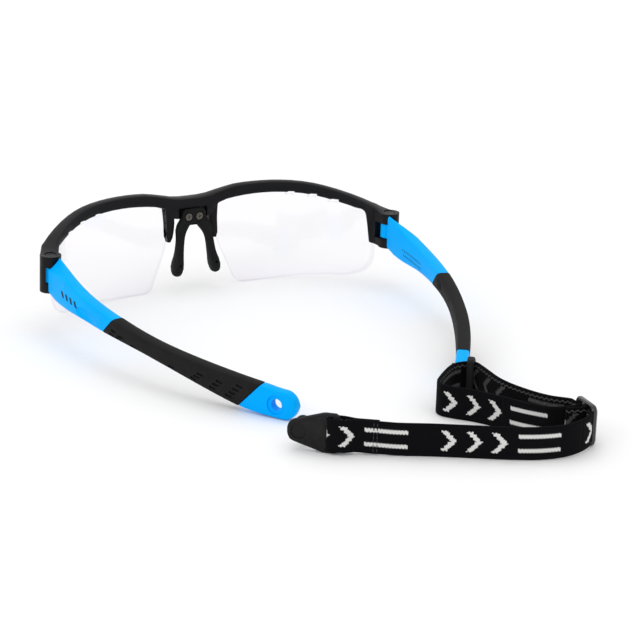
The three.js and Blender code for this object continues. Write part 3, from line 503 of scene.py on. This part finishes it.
class WebLine:
    """The webbing's whole middle line, measured by length along it."""

    def __init__(self, stretches):
        controls = [point for stretch in stretches.values() for point in stretch]
        self.samples = smooth_line(controls)
        self.lengths = [0.0]
        for (a, _), (b, _) in zip(self.samples, self.samples[1:]):
            self.lengths.append(self.lengths[-1] + (b - a).length)
        self.total = self.lengths[-1]
        self.breaks = [0.0]
        reached = 0
        for stretch in stretches.values():
            reached += len(stretch)
            last = min(reached, len(controls) - 1)
            self.breaks.append(self.length_at_control(last))

    def length_at_control(self, control):
        return next(length for length, (_, index) in zip(self.lengths, self.samples) if index >= control)

    def at(self, length):
        length = min(max(length, 0.0), self.total)
        last = len(self.lengths) - 1
        index = next((i for i, reached in enumerate(self.lengths) if reached >= length), last)
        index = max(index, 1)
        share = (length - self.lengths[index - 1]) / (self.lengths[index] - self.lengths[index - 1])
        return self.samples[index - 1][0].lerp(self.samples[index][0], share)

    def direction(self, length):
        return (self.at(length + 0.25 * MM) - self.at(length - 0.25 * MM)).normalized()

    def nearest(self, point, start, end):
        """The length at which the line passes closest to point, between start and end."""
        tries = 400
        lengths = (start + (end - start) * i / tries for i in range(tries + 1))
        return min(lengths, key=lambda length: (self.at(length) - point).length)


def web_middle(point):
    """How high the webbing's middle is: lifted where a tab or the slider carries it."""
    on_floor = 0.05 * MM
    lying = on_floor + WEB_WIDTH / 2
    tab_middle = 6.2 * MM
    holders = ((LEFT_TAB.at(STUD_TO_BAR, 0), tab_middle, 12 * MM),
               (SLIDER.origin, HELD_HEIGHT, 14 * MM),
               (RIGHT_TAB.at(STUD_TO_BAR, 0), tab_middle, 12 * MM))
    return lying + sum((height - lying) * math.exp(-((point - centre).length / reach) ** 2)
                       for centre, height, reach in holders)


def web_section():
    """The webbing's cross-section as (across, depth): two flat faces and two soft selvedges."""
    half, thick, soft = WEB_WIDTH / 2, WEB_THICKNESS / 2, 0.25 * MM
    face = [(-half + soft) + (WEB_WIDTH - 2 * soft) * i / 12 for i in range(13)]
    outer = [(across, thick) for across in face]
    inner = [(across, -thick) for across in reversed(face)]
    shoulder = half - 0.06 * MM
    top = [(shoulder, thick * 0.7), (half, thick * 0.25), (half, -thick * 0.25), (shoulder, -thick * 0.7)]
    return outer + top + inner + [(-across, -depth) for across, depth in top]


def webbing_piece(line, name, start, end, look):
    """One stretch of webbing between two lengths along the line."""
    section = web_section()
    count = max(2, round((end - start) / STATION_STEP))
    vertices, run, across_values, sides = [], [], [], []
    for index in range(count + 1):
        length = start + (end - start) * index / count
        point, along = line.at(length), line.direction(length)
        out = Vector((along.y, -along.x))
        middle = web_middle(point)
        for across, depth in section:
            vertices.append((point.x + out.x * depth, point.y + out.y * depth, middle + across))
            run.append(length)
            across_values.append(across)
            sides.append(1.0 if depth > 0 else -1.0)
    size = len(section)
    faces = []
    for index in range(count):
        for corner in range(size):
            a, b = index * size + corner, index * size + (corner + 1) % size
            faces.append((a, b, b + size, a + size))
    faces.append(tuple(range(size))[::-1])
    faces.append(tuple(count * size + i for i in range(size)))
    mesh = bpy.data.meshes.new(name)
    mesh.from_pydata(vertices, [], faces)
    for key, values in (("run", run), ("across", across_values), ("side", sides)):
        mesh.attributes.new(key, "FLOAT", "POINT").data.foreach_set("value", values)
    for polygon in mesh.polygons:
        polygon.use_smooth = len(polygon.vertices) == 4
    mesh.materials.append(look)
    piece = bpy.data.objects.new(name, mesh)
    bpy.context.scene.collection.objects.link(piece)
    return piece


def upright(point):
    return (point.x, point.y, HELD_HEIGHT)


def make_strap(line, stretches):
    look = webbing_look()
    pieces = {}
    for (name, _), start, end in zip(stretches.items(), line.breaks, line.breaks[1:]):
        pieces[name] = webbing_piece(line, name, start, end, look)
        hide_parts("strap_webbing")
    slider = upright(SLIDER.origin)
    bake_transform(pieces["webbing_main"], "strap", "left_end", upright(LEFT_TAB.at(STUD_TO_BAR + 34 * MM, 0)),
             upright(LEFT_TAB.at(STUD_TO_BAR + 15 * MM, 0)))
    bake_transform(pieces["webbing_turn"], "strap", "slider", upright(line.at(line.breaks[1])), slider)
    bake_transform(pieces["webbing_rear"], "strap", "slider", upright(line.at(line.breaks[3])),
             upright(SLIDER.at(8 * MM, 0)))
    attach(pieces["webbing_loop"], "strap")
    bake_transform(pieces["webbing_end"], "strap", "slider", upright(line.at(line.breaks[4])),
             upright(SLIDER.at(8 * MM, 0)))


def stitch(vertices, faces, middle, along, out, length, radius):
    """A short thread that rises out of the cloth, lies on it and dips back in."""
    sides, rings = 6, 7
    side = along.cross(out).normalized()
    base = len(vertices)
    for ring in range(rings):
        t = ring / (rings - 1) * 2 - 1
        centre = middle + along * (t * length / 2) + out * (radius * (0.5 - 1.5 * t ** 4))
        for corner in range(sides):
            angle = 2 * math.pi * corner / sides
            vertices.append(centre + side * (radius * math.cos(angle)) + out * (radius * math.sin(angle)))
    for ring in range(rings - 1):
        for corner in range(sides):
            a, b = base + ring * sides + corner, base + ring * sides + (corner + 1) % sides
            faces.append((a, b, b + sides, a + sides))
    faces.append(tuple(base + i for i in range(sides))[::-1])
    faces.append(tuple(base + (rings - 1) * sides + i for i in range(sides)))


def cross_seam(line, name, body, length, rows, look):
    """Rows of stitches across the webbing, on its outer face."""
    row_pitch, stitch_pitch, per_row = 1.1 * MM, 1.35 * MM, 7
    stitch_length, thread_radius = 1.05 * MM, 0.13 * MM
    vertices, faces = [], []
    up = Vector((0, 0, 1))
    for row in range(rows):
        place = length + row * row_pitch
        point, along = line.at(place), line.direction(place)
        out = Vector((along.y, -along.x, 0))
        surface = Vector((*point, web_middle(point))) + out * (WEB_THICKNESS / 2)
        for index in range(per_row):
            height = (index - per_row // 2) * stitch_pitch + random.uniform(-0.05, 0.05) * MM
            lean = (up + Vector((*along, 0)) * random.uniform(-0.12, 0.12)).normalized()
            stitch(vertices, faces, surface + up * height, lean, out, stitch_length, thread_radius)
    mesh = bpy.data.meshes.new(name)
    mesh.from_pydata(vertices, [], faces)
    for polygon in mesh.polygons:
        polygon.use_smooth = True
    mesh.materials.append(look)
    seam = bpy.data.objects.new(name, mesh)
    bpy.context.scene.collection.objects.link(seam)
    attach(seam, body)


# ---------- surroundings ----------
def make_floor():
    bpy.ops.mesh.primitive_plane_add(size=8, location=(0, 0, 0))
    floor = bpy.context.object
    floor.name = "floor"
    floor.data.materials.append(floor_look())


def area_light(name, place, target, size, power):
    lamp = bpy.data.lights.new(name, "AREA")
    lamp.shape = "DISK"
    lamp.size = size
    lamp.energy = power
    light = bpy.data.objects.new(name, lamp)
    light.location = place
    light.rotation_euler = (Vector(target) - Vector(place)).to_track_quat("-Z", "Y").to_euler()
    bpy.context.scene.collection.objects.link(light)


def make_light():
    world = bpy.data.worlds.new("studio")
    world.use_nodes = True
    background = world.node_tree.nodes["Background"]
    background.inputs["Color"].default_value = (1, 1, 1, 1)
    background.inputs["Strength"].default_value = 0.97
    bpy.context.scene.world = world
    area_light("overhead", (0.1, 0.3, 1.2), (0, 0, 0), 0.9, 2.6)
    area_light("left_window", (-1.0, -0.4, 0.6), (0, 0, 0), 0.6, 1.6)


def make_camera():
    """A long lens behind and to the left of the goggles, looking down on them."""
    position = (-0.424, -0.7158, 0.2857)
    azimuth, elevation, roll = math.radians(30.44), math.radians(17.95), math.radians(1.99)
    focal_length, sensor_width = 151.35, 36
    forward = Vector((math.sin(azimuth) * math.cos(elevation), math.cos(azimuth) * math.cos(elevation),
                      -math.sin(elevation)))
    level_right = Vector((math.cos(azimuth), -math.sin(azimuth), 0))
    level_up = level_right.cross(forward)
    right = level_right * math.cos(roll) + level_up * math.sin(roll)
    up = level_up * math.cos(roll) - level_right * math.sin(roll)
    camera = bpy.data.objects.new("camera", bpy.data.cameras.new("camera"))
    camera.data.sensor_width = sensor_width
    camera.data.lens = focal_length
    camera.data.clip_start = 0.05
    turn = Matrix((right, up, -forward)).transposed().to_4x4()
    camera.matrix_world = Matrix.Translation(position) @ turn
    bpy.context.scene.collection.objects.link(camera)
    bpy.context.scene.camera = camera


bpy.context.scene.view_settings.view_transform = "Standard"
make_camera()
make_floor()
make_light()
dress_cad_nodes()
STRETCHES = webbing_controls()
LINE = WebLine(STRETCHES)
make_strap(LINE, STRETCHES)
THREAD = thread_look()
SEAM_PLACE = LEFT_TAB.at(STUD_TO_BAR + 11.5 * MM, -1.7 * MM)
left_seam = LINE.nearest(SEAM_PLACE, 24 * MM, 40 * MM)
cross_seam(LINE, "left_seam", "left_end", left_seam, 2, THREAD)
